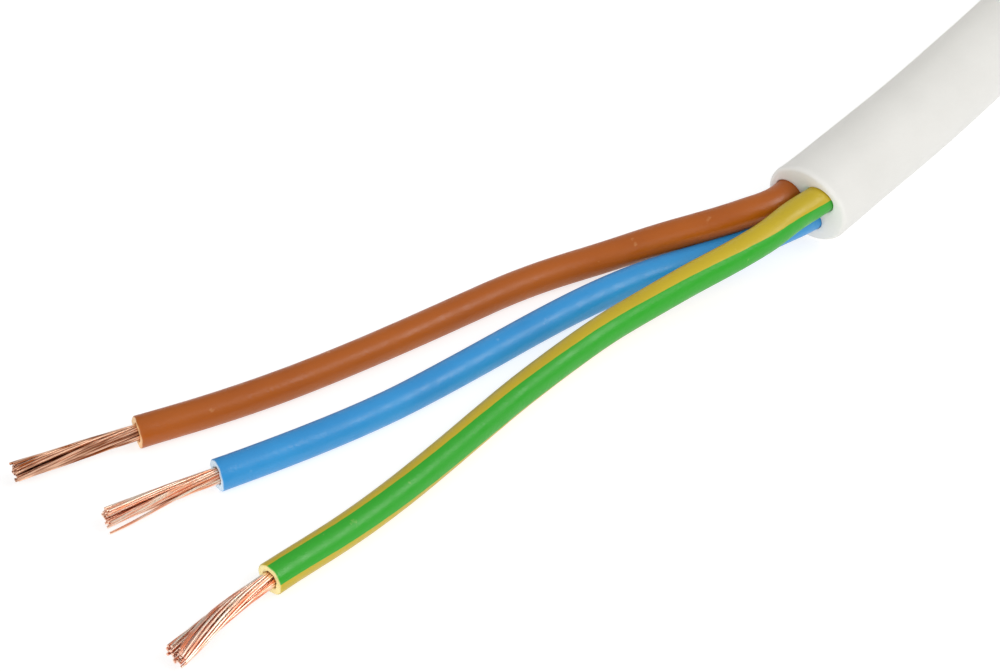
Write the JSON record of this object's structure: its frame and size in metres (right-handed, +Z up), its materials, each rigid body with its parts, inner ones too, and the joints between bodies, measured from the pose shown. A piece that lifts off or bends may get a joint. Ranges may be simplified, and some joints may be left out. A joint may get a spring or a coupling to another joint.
{
  "type": "coil of three-core flexible mains cable with stripped end",
  "caption": "Ring of white round flexible cable held by ties, its free end stripped to brown, blue and green-yellow cores with bare copper strands.",
  "frame": {"origin": "middle of the object's box at the level that it lies on", "axes": "+Z up, -Y towards the stripped end, +X to the right seen from the stripped end"},
  "size_m": [0.1486, 0.2494, 0.0619],
  "materials": {
    "white_pvc": "satin white flexible PVC",
    "brown_pvc": "satin brown PVC",
    "blue_pvc": "satin light blue PVC",
    "green_yellow_pvc": "satin green PVC with yellow stripes",
    "copper": "bright drawn copper wire",
    "natural_nylon": "natural nylon"
  },
  "bodies": {
    "root": {"sheath_free_end": "white_pvc", "cable_coil": "white_pvc", "insulation_brown": "brown_pvc", "insulation_blue": "blue_pvc", "insulation_earth": "green_yellow_pvc", "strands_brown_outer": "copper", "strands_brown_middle": "copper", "strands_brown_inner": "copper", "strands_blue_outer": "copper", "strands_blue_middle": "copper", "strands_blue_inner": "copper", "strands_earth_outer": "copper", "strands_earth_middle": "copper", "strands_earth_inner": "copper", "tie_front": "natural_nylon", "tie_left": "natural_nylon", "tie_right": "natural_nylon"}
  },
  "joints": []
}
